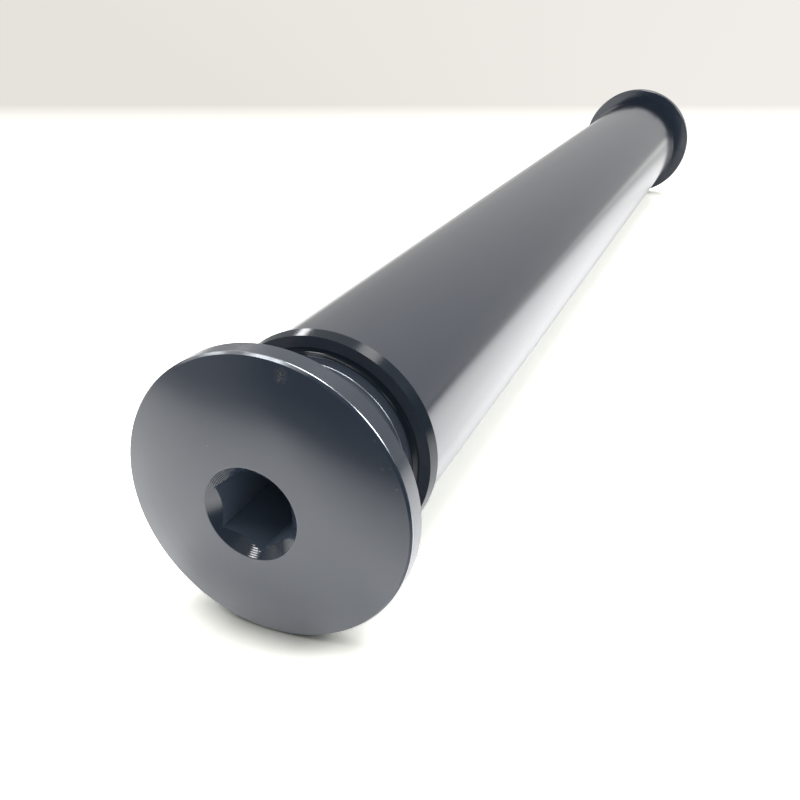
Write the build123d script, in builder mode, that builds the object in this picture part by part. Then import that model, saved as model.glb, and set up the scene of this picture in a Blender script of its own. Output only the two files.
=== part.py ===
"""Bicycle thru axle.

A turned tube carries a thin lip and a short neck at each end. A domed bolt with a hex socket
screws into each end. Its shoulder carries the neck on, up to its head, and a dropout sits there,
held between the head and the lip.

Millimetres. The axle lies along X with the middle of the tube at the origin, and Z is up.
The left end is at -X and the right end at +X.
"""

import os
from math import radians, sqrt, tan

from build123d import *

# Axle tube
lip_spacing = 135.0
tube_diameter = 16.0
bore_diameter = 9.0
lip_diameter = 16.7
lip_face_diameter = 16.4
lip_thickness = 1.0
neck_diameter = 14.0
neck_length = 1.5
neck_end_chamfer = 0.1
neck_root_fillet = 0.4

# Thread between a bolt and the tube, drawn as two plain cylinders at its outer diameter
thread_diameter = 10.0
thread_clearance = 0.05
thread_mouth_chamfer = 0.5
tapped_spare_depth = 4.0

# Bolt head
head_diameter = 20.1
rim_width = 1.7
dome_radius = 31.0
rim_chamfer = 0.15

# Bolt shoulder, as thick as the tube's neck, and shank
shoulder_length = 4.8
shank_length = 18.0
shank_tip_chamfer = 0.7
relief_diameter = 8.6
relief_width = 1.2

# Hex socket in the head
socket_across_flats = 5.0
socket_mouth_diameter = 6.5
socket_depth = 6.5
socket_turn = 36.0
countersink_half_angle = 45.0
drill_point_half_angle = 60.0

# Places along the axle, measured from its middle
lip_face_x = lip_spacing / 2
neck_end_x = lip_face_x + neck_length
tapped_end_x = neck_end_x - shank_length - tapped_spare_depth

# Radii
tube_radius = tube_diameter / 2
bore_radius = bore_diameter / 2
lip_radius = lip_diameter / 2
lip_face_radius = lip_face_diameter / 2
neck_radius = neck_diameter / 2
tapped_radius = thread_diameter / 2
shank_radius = tapped_radius - thread_clearance
relief_radius = relief_diameter / 2
head_radius = head_diameter / 2
mouth_radius = socket_mouth_diameter / 2
socket_inner_radius = socket_across_flats / 2

# Places along a bolt, measured outwards from the seat of its shoulder on the neck
dome_edge = shoulder_length + rim_width
dome_centre = dome_edge - sqrt(dome_radius**2 - head_radius**2)
mouth_height = dome_centre + sqrt(dome_radius**2 - mouth_radius**2)
countersink_tip = mouth_height - mouth_radius / tan(radians(countersink_half_angle))
socket_floor = mouth_height - socket_depth
drill_point = socket_floor - socket_inner_radius / tan(radians(drill_point_half_angle))

ends = {"left": -1, "right": 1}
same_radius = 1e-4


def circles(builder, radius):
    """Round edges of one radius, from the middle of the axle outwards."""
    round_edges = builder.edges().filter_by(GeomType.CIRCLE)
    wanted = round_edges.filter_by(lambda edge: abs(edge.radius - radius) < same_radius)
    return wanted.sort_by(lambda edge: abs(edge.arc_center.X))


os.makedirs("parts", exist_ok=True)

# The tube is one turning: bore, tapped ends, necks and lips
with BuildPart() as axle_tube:
    with BuildSketch(Plane.XZ):
        with BuildLine():
            Polyline(
                (0, bore_radius),
                (tapped_end_x, bore_radius),
                (tapped_end_x, tapped_radius),
                (neck_end_x, tapped_radius),
                (neck_end_x, neck_radius),
                (lip_face_x, neck_radius),
                (lip_face_x, lip_face_radius),
                (lip_face_x - lip_thickness, lip_radius),
                (lip_face_x - lip_thickness, tube_radius),
                (0, tube_radius),
                close=True,
            )
        make_face()
        mirror(about=Plane.YZ)
    revolve(axis=Axis.X)

    neck_edges = circles(axle_tube, neck_radius)
    fillet(neck_edges[:2], neck_root_fillet)
    chamfer(neck_edges[2:], neck_end_chamfer)
    chamfer(circles(axle_tube, tapped_radius)[2:], thread_mouth_chamfer)

axle_tube.part.label = "axle_tube"
export_step(axle_tube.part, "parts/axle_tube.step")

# The two bolts are alike, and each is turned about the axle's axis
for end, side in ends.items():
    along = (side, 0, 0)
    section = Plane((side * neck_end_x, 0, 0), x_dir=along, z_dir=(0, -side, 0))
    mouth = Plane((side * (neck_end_x + mouth_height), 0, 0), x_dir=(0, side, 0), z_dir=along)

    with BuildPart() as head_bolt:
        with BuildSketch(section) as profile:
            with BuildLine():
                RadiusArc((dome_edge, head_radius), (mouth_height, mouth_radius), dome_radius)
                Polyline(
                    (mouth_height, mouth_radius),
                    (countersink_tip, 0),
                    (-shank_length, 0),
                    (-shank_length, shank_radius - shank_tip_chamfer),
                    (-shank_length + shank_tip_chamfer, shank_radius),
                    (-relief_width - (shank_radius - relief_radius), shank_radius),
                    (-relief_width, relief_radius),
                    (0, relief_radius),
                    (0, neck_radius),
                    (shoulder_length, neck_radius),
                    (shoulder_length, head_radius),
                    (dome_edge, head_radius),
                )
            make_face()
            rim_corners = profile.vertices().group_by(Axis.Y)[-1]
            chamfer(rim_corners, rim_chamfer)
        revolve(axis=Axis.X)

        with BuildSketch(mouth):
            RegularPolygon(socket_inner_radius, side_count=6, major_radius=False, rotation=socket_turn)
        extrude(amount=-socket_depth, mode=Mode.SUBTRACT)

        with BuildSketch(section):
            with BuildLine():
                Polyline(
                    (socket_floor, 0),
                    (socket_floor, socket_inner_radius),
                    (drill_point, 0),
                    close=True,
                )
            make_face()
        revolve(axis=Axis.X, mode=Mode.SUBTRACT)

    head_bolt.part.label = f"{end}_head_bolt"
    export_step(head_bolt.part, f"parts/{end}_head_bolt.step")
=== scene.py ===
"""Black bicycle thru axle lying on a white surface, seen close up past one of its domed heads.

Metres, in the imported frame: the axle lies along X with its middle at the origin, and Z is up.
The left end, at -X, is the near one.
"""

import math

import bmesh
import bpy
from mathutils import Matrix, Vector


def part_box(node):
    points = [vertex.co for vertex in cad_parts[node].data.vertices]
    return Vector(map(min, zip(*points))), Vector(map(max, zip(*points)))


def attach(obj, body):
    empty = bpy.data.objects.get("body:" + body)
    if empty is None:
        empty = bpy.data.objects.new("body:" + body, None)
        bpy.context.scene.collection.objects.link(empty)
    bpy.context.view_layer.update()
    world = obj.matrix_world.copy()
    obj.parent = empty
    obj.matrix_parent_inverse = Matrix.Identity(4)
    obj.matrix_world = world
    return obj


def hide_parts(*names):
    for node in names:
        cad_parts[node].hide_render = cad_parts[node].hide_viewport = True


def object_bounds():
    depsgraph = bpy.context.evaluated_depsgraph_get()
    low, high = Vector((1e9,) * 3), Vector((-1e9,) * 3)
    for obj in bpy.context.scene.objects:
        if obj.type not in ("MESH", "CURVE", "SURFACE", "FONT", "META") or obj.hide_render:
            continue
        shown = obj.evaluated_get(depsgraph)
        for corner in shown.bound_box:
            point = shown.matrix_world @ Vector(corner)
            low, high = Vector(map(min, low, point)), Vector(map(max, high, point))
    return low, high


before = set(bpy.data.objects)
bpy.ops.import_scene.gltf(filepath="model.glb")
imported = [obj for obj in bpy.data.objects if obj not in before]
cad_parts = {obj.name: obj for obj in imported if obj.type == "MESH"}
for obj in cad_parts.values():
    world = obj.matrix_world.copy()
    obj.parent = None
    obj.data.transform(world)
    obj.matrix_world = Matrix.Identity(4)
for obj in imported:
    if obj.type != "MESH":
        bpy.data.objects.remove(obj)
cad_low, cad_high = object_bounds()

mm = 0.001
ends = {"left": -1, "right": 1}

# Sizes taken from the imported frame
tube_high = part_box("axle_tube")[1]
bolt_low, bolt_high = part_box("right_head_bolt")
neck_end = tube_high.x
lip_radius = tube_high.z
head_radius = bolt_high.z
shank_length = neck_end - bolt_low.x
floor_height = cad_low.z

# Axle tube
neck_length = 1.5 * mm
lip_thickness = 1.0 * mm
lip_face_radius = 8.2 * mm
tube_radius = 8.0 * mm
neck_radius = 7.0 * mm
neck_end_chamfer = 0.1 * mm
neck_root_fillet = 0.4 * mm
neck_edge_round = 0.025 * mm
bore_radius = 4.5 * mm
tapped_radius = 5.0 * mm
tapped_mouth_chamfer = 0.5 * mm
tapped_spare_depth = 4.0 * mm

# Bolt shoulder and head, and the hex socket with its 45 degree countersink
shoulder_length = 4.8 * mm
rim_width = 1.7 * mm
rim_chamfer = 0.15 * mm
rim_edge_round = 0.035 * mm
dome_radius = 31.0 * mm
mouth_radius = 3.25 * mm
mouth_edge_round = 0.03 * mm
turning_pitch = 0.1 * mm
turning_depth = 0.012 * mm
hex_sides = 6
socket_inner_radius = 2.5 * mm
socket_depth = 6.5 * mm
socket_turn = math.radians(36.0)
drill_clearance = 0.0375 * mm
drill_point_half_angle = math.radians(60.0)

# Bolt shank and its thread, M10 x 1
relief_width = 1.2 * mm
relief_radius = 4.3 * mm
thread_pitch = 1.0 * mm
thread_crest_radius = 4.95 * mm
thread_root_radius = 4.36 * mm
thread_crest_width = 0.13 * mm
thread_root_width = 0.86 * mm
thread_sunk = 0.05 * mm
shank_tip_chamfer = 0.7 * mm

# Places along the tube, measured from its middle
lip_face = neck_end - neck_length
lip_back = lip_face - lip_thickness
tapped_end = neck_end - shank_length - tapped_spare_depth

# Heights on a bolt, measured outwards from the seat of its shoulder on the neck
dome_edge = shoulder_length + rim_width
rim_front = dome_edge - rim_chamfer
dome_centre = dome_edge - math.sqrt(dome_radius**2 - head_radius**2)
mouth_height = dome_centre + math.sqrt(dome_radius**2 - mouth_radius**2)
countersink_tip = mouth_height - mouth_radius
socket_floor = mouth_height - socket_depth
drill_point = socket_floor - socket_inner_radius / math.tan(drill_point_half_angle)

# How finely round things are cut: each hex corner falls on a step of the full turn
turn_steps = 240
dome_steps = 36
fillet_steps = 8
edge_round_steps = 2
thread_steps = 72

# Tolerances: what counts as one point, as one place, as off a face and as a sharp edge
merge_distance = 0.0001 * mm
same_place = 0.01 * mm
just_off = 0.001 * mm
sharp_angle = math.radians(24.0)

# Places in the tube's list of materials, where the dyed metal comes first
worn_neck_edge = 1
dark_lip = 2

# Places in a bolt's list of materials, where the dyed metal comes first
turned_countersink = 1
broached_socket = 2
worn_rim_chamfer_and_highlight = 3
worn_rim_edge = 4


# Meshes


def along(side, height):
    """The place along X of a height on the bolt at one side."""
    return side * (neck_end + height)


def spun(bm, outline, closed=False):
    """Turns an outline of (x, radius) points about X into a surface."""
    verts = [bm.verts.new((x, 0, radius)) for x, radius in outline]
    pairs = list(zip(verts, verts[1:]))
    if closed:
        pairs.append((verts[-1], verts[0]))
    edges = [bm.edges.new(pair) for pair in pairs]
    bmesh.ops.spin(
        bm,
        geom=verts + edges,
        cent=(0, 0, 0),
        axis=(1, 0, 0),
        angle=math.tau,
        steps=turn_steps,
        use_merge=True,
    )


def ring_edges(bm, x, radius):
    """Edges of the circle at one place along X and one radius."""

    def on_ring(vert):
        return abs(vert.co.x - x) < same_place and abs(vert.co.yz.length - radius) < same_place

    return [edge for edge in bm.edges if on_ring(edge.verts[0]) and on_ring(edge.verts[1])]


def drawn_ring(bm, edges, side, place, material_index):
    """Extrudes a ring of edges to the heights and radii that place(angle) gives. Returns the new ring."""
    made = bmesh.ops.extrude_edge_only(bm, edges=edges)["geom"]
    verts = {item for item in made if isinstance(item, bmesh.types.BMVert)}
    for vert in verts:
        angle = math.atan2(vert.co.z, vert.co.y)
        height, radius = place(angle)
        vert.co = (along(side, height), radius * math.cos(angle), radius * math.sin(angle))
    for item in made:
        if isinstance(item, bmesh.types.BMFace):
            item.material_index = material_index
    return [edge for edge in bm.edges if edge.verts[0] in verts and edge.verts[1] in verts]


def round_ring(bm, x, radius, offset):
    """Rounds off the edge that runs round at one place along X and one radius."""
    bmesh.ops.bevel(
        bm,
        geom=ring_edges(bm, x, radius),
        offset=offset,
        segments=edge_round_steps,
        profile=0.5,
        affect="EDGES",
        material=-1,
    )


def set_material(bm, beyond, outside, material_index):
    """Gives the faces past one place along the axle, and outside one radius, another material."""
    for face in bm.faces:
        centre = face.calc_center_median()
        if abs(centre.x) > beyond and centre.yz.length > outside:
            face.material_index = material_index


def finish_piece(bm, name, materials, body, node, slot, flat_indices=()):
    """Makes a bmesh the piece that stands for a CAD node. Faces of some materials stay flat."""
    bmesh.ops.remove_doubles(bm, verts=bm.verts, dist=merge_distance)
    bmesh.ops.recalc_face_normals(bm, faces=bm.faces)
    for face in bm.faces:
        face.smooth = face.material_index not in flat_indices
    for edge in bm.edges:
        one_material = len({face.material_index for face in edge.link_faces}) == 1
        edge.smooth = one_material and edge.calc_face_angle(0.0) < sharp_angle
    mesh = bpy.data.meshes.new(name)
    bm.to_mesh(mesh)
    bm.free()
    for material in materials:
        mesh.materials.append(material)
    piece = bpy.data.objects.new(name, mesh)
    bpy.context.scene.collection.objects.link(piece)
    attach(piece, body)
    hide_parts(node)


def tube_outline():
    """Half of the tube's section, from the middle of the bore round to the middle of its outside."""
    fillet_x = lip_face + neck_root_fillet
    fillet_radius = neck_radius + neck_root_fillet
    quarter = [math.pi / 2 * step / fillet_steps for step in range(fillet_steps + 1)]
    root = [
        (fillet_x - neck_root_fillet * math.sin(turn), fillet_radius - neck_root_fillet * math.cos(turn))
        for turn in quarter
    ]
    return [
        (0, bore_radius),
        (tapped_end, bore_radius),
        (tapped_end, tapped_radius),
        (neck_end - tapped_mouth_chamfer, tapped_radius),
        (neck_end, tapped_radius + tapped_mouth_chamfer),
        (neck_end, neck_radius - neck_end_chamfer),
        (neck_end - neck_end_chamfer, neck_radius),
        *root,
        (lip_face, lip_face_radius),
        (lip_back, lip_radius),
        (lip_back, tube_radius),
        (0, tube_radius),
    ]


def axle_tube(materials):
    """The turned tube. The lip's outside and the fillet at the neck's root have the same finish."""
    bm = bmesh.new()
    half = tube_outline()
    other_half = [(-x, radius) for x, radius in reversed(half[1:-1])]
    spun(bm, half + other_half, closed=True)
    neck_edge = neck_end - neck_end_chamfer
    for side in ends.values():
        round_ring(bm, side * neck_edge, neck_radius, neck_edge_round)
    set_material(bm, neck_edge - neck_edge_round, neck_radius - neck_end_chamfer, worn_neck_edge)
    set_material(bm, lip_back, lip_face_radius, dark_lip)
    set_material(bm, lip_face + just_off, neck_radius, dark_lip)
    finish_piece(bm, "turned_tube", materials, "axle", "axle_tube", "tube_anodised")


def bolt_outline():
    """Half of a bolt's section as heights and radii, from the shank's tip round to the socket's mouth."""
    rim_angle = math.asin(head_radius / dome_radius) - rim_chamfer / dome_radius
    mouth_angle = math.asin(mouth_radius / dome_radius)
    sweep = [rim_angle + (mouth_angle - rim_angle) * step / dome_steps for step in range(dome_steps + 1)]
    dome = [(dome_centre + dome_radius * math.cos(a), dome_radius * math.sin(a)) for a in sweep]
    return [
        (-shank_length, 0),
        (-shank_length, thread_root_radius - shank_tip_chamfer),
        (-shank_length + shank_tip_chamfer, thread_root_radius),
        (-relief_width, thread_root_radius),
        (-relief_width, relief_radius),
        (0, relief_radius),
        (0, neck_radius),
        (shoulder_length, neck_radius),
        (shoulder_length, head_radius - rim_chamfer),
        (shoulder_length + rim_chamfer, head_radius),
        (rim_front, head_radius),
        *dome,
    ]


def hex_radius(angle, side):
    """How far the hex socket's wall is from the axis at one angle round it."""
    from_outside = angle if side > 0 else math.pi - angle
    flat_turn = math.tau / hex_sides
    from_flat = (from_outside - socket_turn) % flat_turn - flat_turn / 2
    return socket_inner_radius / math.cos(from_flat)


def add_socket(bm, side):
    """Draws the socket in from the mouth's edge: countersink, hex walls, floor and drill point."""

    def on_countersink(line):
        """Where a turning line runs: up and down by turns, and cut off at the hex."""
        line_radius = mouth_radius - line * turning_pitch / 2
        lift = turning_depth if line % 2 else 0.0

        def place(angle):
            wall_radius = hex_radius(angle, side)
            if wall_radius < line_radius:
                return countersink_tip + line_radius + lift, line_radius
            return countersink_tip + wall_radius, wall_radius

        return place

    def wall_foot(angle):
        return socket_floor, hex_radius(angle, side)

    def drill_edge(angle):
        return socket_floor, socket_inner_radius - drill_clearance

    def drill_tip(angle):
        return drill_point, 0

    ring = ring_edges(bm, along(side, mouth_height), mouth_radius)
    line_count = math.ceil((mouth_radius - socket_inner_radius) / (turning_pitch / 2))
    for line in range(1, line_count + 1):
        ring = drawn_ring(bm, ring, side, on_countersink(line), turned_countersink)
    for place in (wall_foot, drill_edge, drill_tip):
        ring = drawn_ring(bm, ring, side, place, broached_socket)


def thread_mesh(start, finish):
    """A right-hand ridge round the shank, which sinks into it at both ends."""
    bm = bmesh.new()
    base_radius = thread_root_radius - thread_sunk
    turns = (finish - start - thread_root_width) / thread_pitch
    steps = round(turns * thread_steps)
    middle = start + thread_root_width / 2
    section = [
        (middle - thread_root_width / 2, base_radius),
        (middle - thread_crest_width / 2, thread_crest_radius),
        (middle + thread_crest_width / 2, thread_crest_radius),
        (middle + thread_root_width / 2, base_radius),
    ]
    verts = [bm.verts.new((x, 0, radius)) for x, radius in section]
    first = [bm.edges.new(pair) for pair in zip(verts, verts[1:] + verts[:1])]
    made = bmesh.ops.spin(
        bm,
        geom=verts + first,
        cent=(0, 0, 0),
        axis=(1, 0, 0),
        angle=math.tau * steps / thread_steps,
        dvec=(thread_pitch / thread_steps, 0, 0),
        steps=steps,
    )
    last = [item for item in made["geom_last"] if isinstance(item, bmesh.types.BMEdge)]
    for ring in (first, last):
        bmesh.ops.contextual_create(bm, geom=ring)

    for vert in bm.verts:
        radius = vert.co.yz.length
        if radius > thread_root_radius:
            to_end = min(vert.co.x - start, finish - vert.co.x) - thread_root_width / 2
            rise = min(1.0, max(0.0, to_end / thread_pitch))
            lowest = thread_root_radius - thread_sunk / 2
            vert.co.yz = vert.co.yz * ((lowest + (radius - lowest) * rise) / radius)
    mesh = bpy.data.meshes.new("thread")
    bm.to_mesh(mesh)
    bm.free()
    return mesh


def add_thread(bm, side):
    """Winds the thread round the shank, from half way up the chamfer of its tip to the relief."""
    tip = along(side, -shank_length + shank_tip_chamfer / 2)
    relief = along(side, -relief_width)
    thread = thread_mesh(min(tip, relief), max(tip, relief))
    bm.from_mesh(thread)
    bpy.data.meshes.remove(thread)


def head_bolt(end, materials):
    """A domed bolt, with worn metal on the front edge of its rim; on the chamfer it is bare only near the
    top, partly wear and partly a painted highlight.
    """
    side = ends[end]
    bm = bmesh.new()
    spun(bm, [(along(side, height), radius) for height, radius in bolt_outline()])
    bmesh.ops.remove_doubles(bm, verts=bm.verts, dist=merge_distance)
    add_socket(bm, side)
    round_ring(bm, along(side, mouth_height), mouth_radius, mouth_edge_round)
    round_ring(bm, along(side, rim_front), head_radius, rim_edge_round)
    rim_x = neck_end + rim_front
    set_material(bm, rim_x, head_radius - rim_chamfer, worn_rim_chamfer_and_highlight)
    set_material(bm, rim_x - rim_edge_round, head_radius - rim_edge_round, worn_rim_edge)
    add_thread(bm, side)
    names = (f"{end}_bolt", f"{end}_head_bolt", "bolt_anodised")
    flat = (turned_countersink, broached_socket)
    finish_piece(bm, f"{end}_domed_bolt", materials, *names, flat_indices=flat)


# Nodes


def node_in(tree, kind, settings=None, **inputs):
    """A new node. Its inputs are values or sockets to link, by name with _ for a space, or as i0, i1, i2."""
    made = tree.nodes.new(kind)
    for key, value in (settings or {}).items():
        setattr(made, key, value)
    for key, value in inputs.items():
        by_number = key[1:].isdigit()
        socket = made.inputs[int(key[1:]) if by_number else key.replace("_", " ")]
        if isinstance(value, bpy.types.NodeSocket):
            tree.links.new(value, socket)
        else:
            socket.default_value = value
    return made


def map_range(tree, value, start, finish, low=0.0, high=1.0):
    limits = {"From_Min": start, "From_Max": finish, "To_Min": low, "To_Max": high}
    return node_in(tree, "ShaderNodeMapRange", Value=value, **limits).outputs["Result"]


def maths(tree, operation, first, second):
    made = node_in(tree, "ShaderNodeMath", {"operation": operation}, i0=first, i1=second)
    return made.outputs["Value"]


def vector_maths(tree, operation, first, second=(0, 0, 0)):
    made = node_in(tree, "ShaderNodeVectorMath", {"operation": operation}, i0=first, i1=second)
    return made.outputs["Value"]


def parts_of(tree, vector):
    """The X, Y and Z of a vector, by name."""
    return node_in(tree, "ShaderNodeSeparateXYZ", Vector=vector).outputs


def mixed_value(tree, factor, first, second):
    mix = node_in(tree, "ShaderNodeMix", {"data_type": "FLOAT"}, i0=factor, i2=first, i3=second)
    return mix.outputs[0]


def mixed_colour(tree, factor, first, second):
    """Goes from one colour to another, each of them a socket or its red, green and blue."""
    colours = [part if isinstance(part, bpy.types.NodeSocket) else (*part, 1.0) for part in (first, second)]
    mix = node_in(tree, "ShaderNodeMix", {"data_type": "RGBA"}, i0=factor, i6=colours[0], i7=colours[1])
    return mix.outputs[2]


def mixed_shader(tree, factor, first, second):
    return node_in(tree, "ShaderNodeMixShader", Fac=factor, i1=first, i2=second).outputs["Shader"]


def by_ray(tree, plain, seen, reflected):
    """One shader for the camera, another for reflections, and the plain one for all other light."""
    rays = tree.nodes.new("ShaderNodeLightPath").outputs
    not_reflected = mixed_shader(tree, rays["Is Camera Ray"], plain, seen)
    return mixed_shader(tree, rays["Is Glossy Ray"], not_reflected, reflected)


# Materials

tube_dye = (0.044, 0.054, 0.074)
lip_dye = (0.012, 0.020, 0.030)
bolt_dye = (0.030, 0.043, 0.067)
# The socket's dye is much lighter than the bolt's: painted light that lifts the dark recess
socket_dye_and_painted_light = (0.12, 0.155, 0.21)
bare_metal = (0.62, 0.65, 0.69)
scuffed_metal = (0.17, 0.165, 0.16)

# How rough each finish is: a bolt's dyed layer is duller than the seal on top of it
tube_roughness = 0.13
bolt_roughness = 0.30
bolt_seal_roughness = 0.16
countersink_roughness = 0.13
lip_roughness = 0.16
socket_roughness = 0.6
worn_roughness = 0.2

# How much each dyed layer shines by itself, and the refractive index of the seal
sealed_gloss = 0.75
bolt_gloss = 0.4
lip_gloss = 0.45
socket_gloss = 0.2
seal_index = 1.5
bolt_seal_index = 1.7

# Unevenness of the dye, as shares of its colour, and of the turned surface, as shares of its roughness
noise_low = 0.3
noise_high = 0.7
dye_grain = 400.0
dye_deep = 0.96
dye_thin = 1.04
turning_grain = 5000.0
turning_smooth = 0.92
turning_rough = 1.08

# Marks on the near dome: where each one is and how far it reaches, in millimetres
scuff_marks = [
    ((-75.76, -2.03, 9.09), 0.55),
    ((-76.02, -6.96, 4.77), 0.10),
    ((-75.75, -8.28, 4.32), 0.12),
    ((-75.62, -8.72, 4.35), 0.10),
    ((-75.67, -9.10, 3.07), 0.14),
    ((-76.80, 2.75, 4.08), 0.10),
    ((-75.58, -7.85, 5.96), 0.14),
]
scuff_core = 0.2
scuff_grain = 9000.0
scuff_low = 0.46
scuff_high = 0.66

# Wear: the least and the most bare metal on each edge, and the heights where the rim's chamfer wears, which
# keep its bare metal near the top, partly wear and partly a painted highlight
wear_grain = 500.0
wear_low = 0.35
wear_high = 0.6
neck_edge_wear = (0.5, 0.95)
rim_chamfer_wear = (0.4, 0.8)
rim_edge_wear = (0.7, 1.0)
rim_chamfer_wear_and_highlight_heights = (9.2 * mm, 9.8 * mm)


def new_material(name):
    """A new material, its node tree, the inputs of its shader and the piece's own coordinates."""
    material = bpy.data.materials.new(name)
    material.use_nodes = True
    tree = material.node_tree
    place = tree.nodes.new("ShaderNodeTexCoord").outputs["Object"]
    return material, tree, tree.nodes["Principled BSDF"].inputs, place


def noise(tree, place, grain):
    return node_in(tree, "ShaderNodeTexNoise", Vector=place, Scale=grain).outputs["Fac"]


def uneven_dye(tree, place, dye):
    """The dye's colour, a little thinner in some places than in others."""
    deep = tuple(part * dye_deep for part in dye)
    thin = tuple(part * dye_thin for part in dye)
    clouds = map_range(tree, noise(tree, place, dye_grain), noise_low, noise_high)
    return mixed_colour(tree, clouds, deep, thin)


def turning_lines(tree, place, roughness):
    """The roughness of a turned surface: fine rings, some a little smoother and some rougher."""
    one_way = {"noise_dimensions": "1D"}
    rings = node_in(tree, "ShaderNodeTexNoise", one_way, W=parts_of(tree, place)["X"], Scale=turning_grain)
    limits = (turning_smooth * roughness, turning_rough * roughness)
    return map_range(tree, rings.outputs["Fac"], noise_low, noise_high, *limits)


def anodised(name, dye, roughness, seal_roughness, gloss=sealed_gloss, index=seal_index, seal=1.0):
    """Black anodised aluminium: a turned, blue-black dyed layer, most often with a glossy seal on top."""
    material, tree, inputs, place = new_material(name)
    tree.links.new(uneven_dye(tree, place, dye), inputs["Base Color"])
    tree.links.new(turning_lines(tree, place, roughness), inputs["Roughness"])
    inputs["Specular IOR Level"].default_value = gloss
    inputs["Coat Weight"].default_value = seal
    inputs["Coat IOR"].default_value = index
    inputs["Coat Roughness"].default_value = seal_roughness
    return material


def scuffed(material):
    """Adds the small light marks on the near dome."""
    tree = material.node_tree
    base_colour = tree.nodes["Principled BSDF"].inputs["Base Color"]
    dyed = base_colour.links[0].from_socket
    place = tree.nodes.new("ShaderNodeTexCoord").outputs["Object"]
    marked = 0.0
    for centre, reach in scuff_marks:
        away = vector_maths(tree, "DISTANCE", place, Vector(centre) * mm)
        mark = map_range(tree, away, reach * mm, scuff_core * reach * mm)
        marked = maths(tree, "MAXIMUM", marked, mark)
    broken = map_range(tree, noise(tree, place, scuff_grain), scuff_low, scuff_high)
    colour = mixed_colour(tree, maths(tree, "MULTIPLY", broken, marked), dyed, scuffed_metal)
    tree.links.new(colour, base_colour)
    return material


def broached(name, dye):
    """The socket's walls and floor, where the dyed layer has no polish, and whose dye is lighter than the
    bolt's: painted light in the recess.
    """
    material, tree, inputs, place = new_material(name)
    tree.links.new(uneven_dye(tree, place, dye), inputs["Base Color"])
    inputs["Roughness"].default_value = socket_roughness
    inputs["Specular IOR Level"].default_value = socket_gloss
    return material


def worn(name, dye, wear, top=None):
    """A sharp edge, where the dye has worn off in patches, or only near the top, and bare aluminium shows.
    Near the top it is partly wear and partly a painted highlight.
    """
    material, tree, inputs, place = new_material(name)
    bare = map_range(tree, noise(tree, place, wear_grain), wear_low, wear_high, *wear)
    # Bare metal only near the top: partly wear, partly a painted highlight where the overhead lamp catches
    # the chamfer
    if top:
        painted_highlight_near_top = map_range(tree, parts_of(tree, place)["Z"], *top)
        bare = maths(tree, "MULTIPLY", bare, painted_highlight_near_top)
    tree.links.new(mixed_colour(tree, bare, dye, bare_metal), inputs["Base Color"])
    tree.links.new(bare, inputs["Metallic"])
    inputs["Roughness"].default_value = worn_roughness
    return material


# Stage

# Camera: its place, where it points, and its lens and sensor in millimetres
camera_place = Vector((-115.60, -25.72, 29.29)) * mm
camera_heading = math.radians(22.30)
camera_pitch = math.radians(25.35)
camera_lens = 39.587
camera_sensor_width = 36.0
camera_clip_start = 5.0 * mm
heading_vector = (math.cos(camera_heading), math.sin(camera_heading), 0)
right_vector = (math.sin(camera_heading), -math.cos(camera_heading), 0)

# A white sheet, and a beige surface that takes over between two distances ahead of the origin
sheet_reach = 3.0
sheet_white = (1.0, 1.0, 1.0)
sheet_end_near = 0.180
sheet_end_far = 0.225
beyond_left = (0.79, 0.765, 0.72)
beyond_right = (0.88, 0.855, 0.815)
beyond_spread = 0.4

# To the camera the sheet is past white, and darkens where the object all but touches it
seen_sheet = (2.4, 2.4, 2.23)
seen_end_near = 0.0
seen_end_far = 0.213
contact_reach = 2.5 * mm

# In reflections the sheet glows a little and takes light, and both grow with its share of brightness, a
# painted light and shade on the sheet
dark_glow = 0.06
bright_glow = 0.08
beyond_glow = 0.36
bright_bounce = 1.62

# That share is painted light and shade: full round the object, less far out, along the axle and to the left,
# and none by the camera, where the sheet is painted dark
bright_within = 0.08
dim_beyond = 0.20
dim_share = 0.36
dark_side = (0.45, 0.893, 0)
dark_side_starts = -0.072
dark_side_ends = -0.045
along_starts = -0.03
along_ends = 0.15
along_share = 0.35
left_starts = 0.0
left_ends = 0.06
left_painted_shade = 0.75

# The room as plain light, to the camera, and in reflections, where each part has its own strength
room_light = 0.45
room_beige = (0.83, 0.80, 0.76)
room_low = 0.5
room_high = 0.64
room_dark_share = 0.1
room_left_wall = 0.4
room_ceiling = 0.4

# Where those parts start and end: how far a direction points ahead, to the right or up, from -1 to 1
dark_until = 0.30
lit_from = 0.52
low_until = 0.2
high_from = 0.57
left_wall_starts = -0.70
left_wall_full = -0.88
ceiling_starts = 0.72
ceiling_full = 0.85

# Lamps: direction from the near head, distance, width and height, and power in watts
lamps = {
    "lamp_above": ((0.34, -0.08, 0.93), 0.6, (0.3, 0.3), 1.1),
    "lamp_right": ((0.35, -0.75, 0.55), 0.6, (0.3, 0.3), 1.2),
    "lamp_left": ((0.08, 0.85, 0.50), 0.6, (0.3, 0.3), 0.5),
    "lamp_overhead": ((-0.15, 0.31, 0.94), 0.5, (0.12, 0.34), 0.25),
    "lamp_behind": ((-0.40, 0.43, 0.81), 0.5, (0.16, 0.08), 0.25),
    "lamp_ahead_left": ((0.70, 0.56, 0.445), 0.5, (0.05, 0.05), 0.07),
    "lamp_ahead": ((0.66, -0.18, 0.73), 0.5, (0.18, 0.05), 0.1),
}


def seen_by_camera(tree, ahead, backdrop):
    """The sheet past white, and the beige surface beyond it, as the camera sees them."""
    near_contact = {"Color": (*seen_sheet, 1.0), "Distance": contact_reach}
    shaded = node_in(tree, "ShaderNodeAmbientOcclusion", **near_contact).outputs["Color"]
    sheet = node_in(tree, "ShaderNodeBsdfDiffuse", Color=shaded).outputs["BSDF"]
    far_off = node_in(tree, "ShaderNodeEmission", Color=backdrop).outputs["Emission"]
    return mixed_shader(tree, map_range(tree, ahead, seen_end_near, seen_end_far), sheet, far_off)


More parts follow.
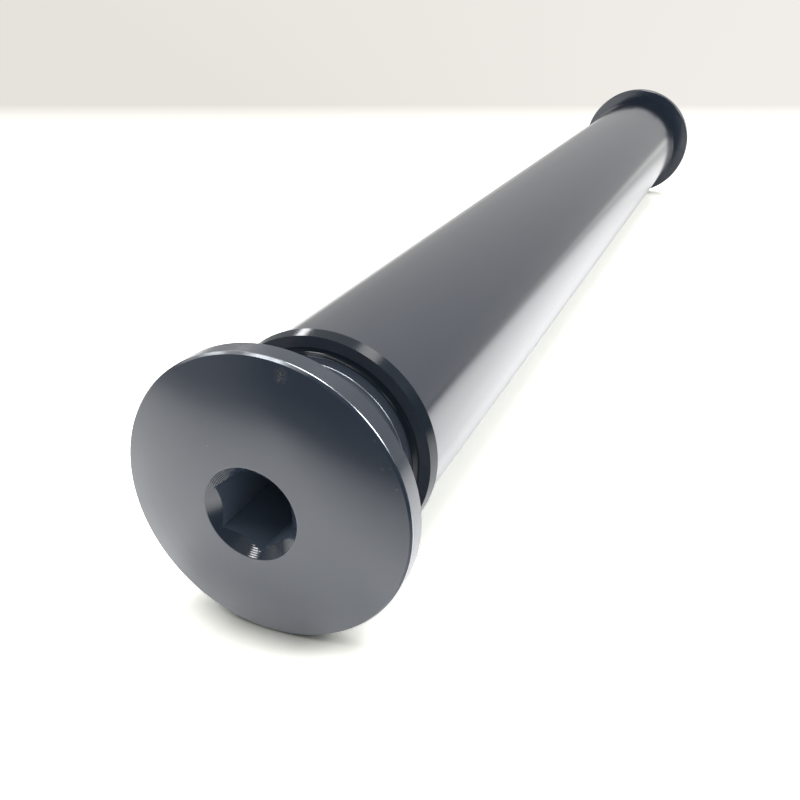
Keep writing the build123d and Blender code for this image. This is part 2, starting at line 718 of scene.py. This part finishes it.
def painted_brightness_share(tree, place):
    """How bright a place on the sheet is in reflections, from none to full: painted light and shade."""
    parts = parts_of(tree, place)
    before_head = maths(tree, "MINIMUM", maths(tree, "SUBTRACT", parts["X"], cad_low.x), 0.0)
    from_axle = node_in(tree, "ShaderNodeCombineXYZ", X=before_head, Y=parts["Y"]).outputs["Vector"]
    away = vector_maths(tree, "LENGTH", from_axle)
    from_dark_side = vector_maths(tree, "DOT_PRODUCT", place, dark_side)
    shares = [
        map_range(tree, from_dark_side, dark_side_starts, dark_side_ends),
        map_range(tree, parts["X"], along_starts, along_ends, 1.0, along_share),
        map_range(tree, parts["Y"], left_starts, left_ends, 1.0, left_painted_shade),
    ]
    share = map_range(tree, away, bright_within, dim_beyond, 1.0, dim_share)
    for part in shares:
        share = maths(tree, "MULTIPLY", share, part)
    return share


def seen_in_reflections(tree, place, beyond, colour):
    """The sheet as reflections show it: a glow, and white that the lamps light."""
    share = painted_brightness_share(tree, place)
    on_sheet = map_range(tree, share, 0.0, 1.0, dark_glow, bright_glow)
    strength = mixed_value(tree, beyond, on_sheet, beyond_glow)
    glow = node_in(tree, "ShaderNodeEmission", Color=colour, Strength=strength).outputs["Emission"]
    white = maths(tree, "MULTIPLY", share, bright_bounce)
    bounce = node_in(tree, "ShaderNodeBsdfDiffuse", Color=white).outputs["BSDF"]
    return node_in(tree, "ShaderNodeAddShader", i0=glow, i1=bounce).outputs["Shader"]


def floor_material():
    """The sheet and the surface beyond it, with a look of their own to the camera and in reflections."""
    material = bpy.data.materials.new("floor_white")
    material.use_nodes = True
    tree = material.node_tree
    tree.nodes.clear()
    place = tree.nodes.new("ShaderNodeTexCoord").outputs["Object"]
    ahead = vector_maths(tree, "DOT_PRODUCT", place, heading_vector)
    aside = vector_maths(tree, "DOT_PRODUCT", place, right_vector)
    beyond = map_range(tree, ahead, sheet_end_near, sheet_end_far)
    to_right = map_range(tree, maths(tree, "DIVIDE", aside, ahead), -beyond_spread, beyond_spread)
    backdrop = mixed_colour(tree, to_right, beyond_left, beyond_right)
    colour = mixed_colour(tree, beyond, sheet_white, backdrop)
    plain = node_in(tree, "ShaderNodeBsdfDiffuse", Color=colour).outputs["BSDF"]
    seen = seen_by_camera(tree, ahead, backdrop)
    reflected = seen_in_reflections(tree, place, beyond, colour)
    node_in(tree, "ShaderNodeOutputMaterial", Surface=by_ray(tree, plain, seen, reflected))
    return material


def white_floor():
    mesh = bpy.data.meshes.new("floor")
    bm = bmesh.new()
    bmesh.ops.create_grid(bm, x_segments=1, y_segments=1, size=sheet_reach)
    bmesh.ops.translate(bm, verts=bm.verts, vec=(0, 0, floor_height))
    bm.to_mesh(mesh)
    bm.free()
    mesh.materials.append(floor_material())
    floor = bpy.data.objects.new("floor", mesh)
    bpy.context.scene.collection.objects.link(floor)


def room():
    """The room round the sheet. Reflections show it dark behind the camera, lit ahead, left and above."""
    world = bpy.data.worlds.new("room")
    bpy.context.scene.world = world
    world.use_nodes = True
    tree = world.node_tree
    tree.nodes.clear()
    direction = tree.nodes.new("ShaderNodeTexCoord").outputs["Generated"]
    ahead = vector_maths(tree, "DOT_PRODUCT", direction, heading_vector)
    aside = vector_maths(tree, "DOT_PRODUCT", direction, right_vector)
    height = parts_of(tree, direction)["Z"]
    lit_share = map_range(tree, ahead, dark_until, lit_from, room_dark_share, 1.0)
    by_height = map_range(tree, height, low_until, high_from, room_low, room_high)
    ahead_wall = maths(tree, "MULTIPLY", lit_share, by_height)
    left_wall = map_range(tree, aside, left_wall_starts, left_wall_full, 0.0, room_left_wall)
    walls = maths(tree, "MAXIMUM", ahead_wall, left_wall)
    above = map_range(tree, height, ceiling_starts, ceiling_full)
    strength = mixed_value(tree, above, walls, room_ceiling)
    plain = node_in(tree, "ShaderNodeBackground", Strength=room_light).outputs["Background"]
    seen = node_in(tree, "ShaderNodeBackground", Color=(*room_beige, 1.0)).outputs["Background"]
    reflected = node_in(tree, "ShaderNodeBackground", Strength=strength).outputs["Background"]
    node_in(tree, "ShaderNodeOutputWorld", Surface=by_ray(tree, plain, seen, reflected))


def lamp(name, direction, distance, size, power):
    """An oval soft lamp that faces the near head from one direction."""
    head = Vector((cad_low.x, 0, 0))
    place = head + Vector(direction).normalized() * distance
    light = bpy.data.lights.new(name, "AREA")
    light.shape = "ELLIPSE"
    light.size, light.size_y = size
    light.energy = power
    holder = bpy.data.objects.new(name, light)
    holder.location = place
    holder.rotation_euler = (head - place).to_track_quat("-Z", "Y").to_euler()
    bpy.context.scene.collection.objects.link(holder)


def camera():
    data = bpy.data.cameras.new("camera")
    data.lens = camera_lens
    data.sensor_width = camera_sensor_width
    data.clip_start = camera_clip_start
    holder = bpy.data.objects.new("camera", data)
    holder.location = camera_place
    holder.rotation_euler = (math.pi / 2 - camera_pitch, 0, camera_heading - math.pi / 2)
    bpy.context.scene.collection.objects.link(holder)
    bpy.context.scene.camera = holder


# The axle

tube_black = anodised("tube_anodised_black", tube_dye, tube_roughness, tube_roughness)
neck_edge_worn = worn("tube_worn_edge", tube_dye, neck_edge_wear)
lip_black = anodised("tube_lip_edge", lip_dye, lip_roughness, lip_roughness, gloss=lip_gloss, seal=0.0)
axle_tube([tube_black, neck_edge_worn, lip_black])

bolt_finish = {"gloss": bolt_gloss, "index": bolt_seal_index}
bolt_dyed = anodised("bolt_anodised_black", bolt_dye, bolt_roughness, bolt_seal_roughness, **bolt_finish)
bolt_materials = [
    scuffed(bolt_dyed),
    anodised("bolt_countersink", bolt_dye, countersink_roughness, countersink_roughness),
    broached("bolt_socket", socket_dye_and_painted_light),
    # The rim's chamfer is bare only near the top: partly wear, partly a painted highlight
    worn("bolt_worn_chamfer_and_painted_highlight", bolt_dye, rim_chamfer_wear, top=rim_chamfer_wear_and_highlight_heights),
    worn("bolt_worn_edge", bolt_dye, rim_edge_wear),
]
for end_name in ends:
    head_bolt(end_name, bolt_materials)

# Its surroundings

white_floor()
room()
for lamp_name, lamp_values in lamps.items():
    lamp(lamp_name, *lamp_values)
camera()

bpy.context.scene.view_settings.view_transform = "Standard"
